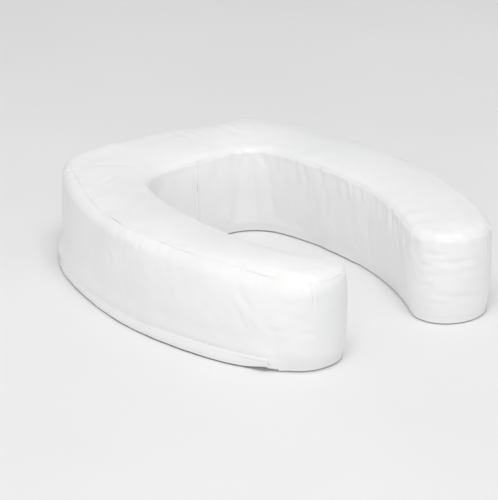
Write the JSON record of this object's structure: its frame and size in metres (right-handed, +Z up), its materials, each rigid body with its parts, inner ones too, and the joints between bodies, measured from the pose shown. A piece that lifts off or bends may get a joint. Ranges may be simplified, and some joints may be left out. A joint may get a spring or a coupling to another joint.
{
  "type": "padded raised toilet seat",
  "caption": "Thick horseshoe foam cushion that raises a toilet seat, open at the front, in a zipped wipe-clean cover with hook-and-loop straps stowed under both arms.",
  "frame": {"origin": "middle of the underside, on the surface the cushion rests on", "axes": "+Z up, +Y towards the closed back, -Y towards the open front, +X to the right arm seen from the front opening looking back"},
  "size_m": [0.3839, 0.4489, 0.102],
  "materials": {
    "vinyl": "satin white wipe-clean coated fabric",
    "base_cloth": "light grey non-slip coated cloth",
    "firm_foam": "cut high-density foam",
    "soft_foam": "cut soft foam",
    "zip_plastic": "white nylon and moulded plastic",
    "zip_tape": "woven white zip tape",
    "webbing": "woven white webbing",
    "hook_tape": "white hook tape",
    "loop_tape": "white brushed loop tape"
  },
  "bodies": {
    "base": {"foam_base": "firm_foam", "foam_comfort_layer": "soft_foam", "cover_bottom_panel": "base_cloth", "cover_outer_band": "vinyl", "cover_inner_band_left": "vinyl", "cover_inner_band_right": "vinyl", "zip_flap": "vinyl", "zip_tape_lower": "zip_tape", "zip_tape_upper": "zip_tape", "zip_coil_lower": "zip_plastic", "zip_coil_upper": "zip_plastic", "zip_front_stop": "zip_plastic", "zip_rear_stop": "zip_plastic"},
    "seat_top": {"cover_top_panel": "vinyl"},
    "zip_slider": {"zip_slider": "zip_plastic"},
    "zip_pull": {"zip_pull": "zip_plastic"},
    "strap_left_outer_root": {"strap_left_outer_root": "webbing"},
    "strap_left_outer_tip": {"strap_left_outer_tip": "webbing", "strap_left_outer_hook_patch": "hook_tape"},
    "strap_left_inner_root": {"strap_left_inner_root": "webbing"},
    "strap_left_inner_tip": {"strap_left_inner_tip": "webbing", "strap_left_inner_loop_patch": "loop_tape"},
    "strap_right_outer_root": {"strap_right_outer_root": "webbing"},
    "strap_right_outer_tip": {"strap_right_outer_tip": "webbing", "strap_right_outer_hook_patch": "hook_tape"},
    "strap_right_inner_root": {"strap_right_inner_root": "webbing"},
    "strap_right_inner_tip": {"strap_right_inner_tip": "webbing", "strap_right_inner_loop_patch": "loop_tape"}
  },
  "joints": [
    {"name": "seat_press", "type": "slide", "parent": "base", "child": "seat_top", "axis": [0, 0, -1], "range_m": [0, 0.015], "stiffness_N_per_m": 40000, "deforming": ["foam_comfort_layer"]},
    {"name": "zip_slide", "type": "hinge", "parent": "base", "child": "zip_slider", "pos_m": [0.24, 0, 0.0112], "axis": [0, 0, -1], "range_deg": [0, 43]},
    {"name": "zip_pull_flip", "type": "hinge", "parent": "zip_slider", "child": "zip_pull", "pos_m": [-0.15539, -0.17154, 0.0112], "axis": [0, 0, 1], "range_deg": [0, 120], "deforming": ["zip_flap"]},
    {"name": "strap_left_outer_swing", "type": "hinge", "parent": "base", "child": "strap_left_outer_root", "pos_m": [-0.1885, 0, 0.00315], "axis": [0, 1, 0], "range_deg": [0, 90]},
    {"name": "strap_left_outer_unfold", "type": "hinge", "parent": "strap_left_outer_root", "child": "strap_left_outer_tip", "pos_m": [-0.1535, 0, 0.00245], "axis": [0, -1, 0], "range_deg": [0, 150]},
    {"name": "strap_left_inner_swing", "type": "hinge", "parent": "base", "child": "strap_left_inner_root", "pos_m": [-0.1055, 0, 0.00315], "axis": [0, -1, 0], "range_deg": [0, 90]},
    {"name": "strap_left_inner_unfold", "type": "hinge", "parent": "strap_left_inner_root", "child": "strap_left_inner_tip", "pos_m": [-0.1405, 0, 0.00205], "axis": [0, 1, 0], "range_deg": [0, 150]},
    {"name": "strap_right_outer_swing", "type": "hinge", "parent": "base", "child": "strap_right_outer_root", "pos_m": [0.1885, 0, 0.00315], "axis": [0, -1, 0], "range_deg": [0, 90]},
    {"name": "strap_right_outer_unfold", "type": "hinge", "parent": "strap_right_outer_root", "child": "strap_right_outer_tip", "pos_m": [0.1535, 0, 0.00245], "axis": [0, 1, 0], "range_deg": [0, 150]},
    {"name": "strap_right_inner_swing", "type": "hinge", "parent": "base", "child": "strap_right_inner_root", "pos_m": [0.1055, 0, 0.00315], "axis": [0, 1, 0], "range_deg": [0, 90]},
    {"name": "strap_right_inner_unfold", "type": "hinge", "parent": "strap_right_inner_root", "child": "strap_right_inner_tip", "pos_m": [0.1405, 0, 0.00205], "axis": [0, -1, 0], "range_deg": [0, 150]}
  ]
}
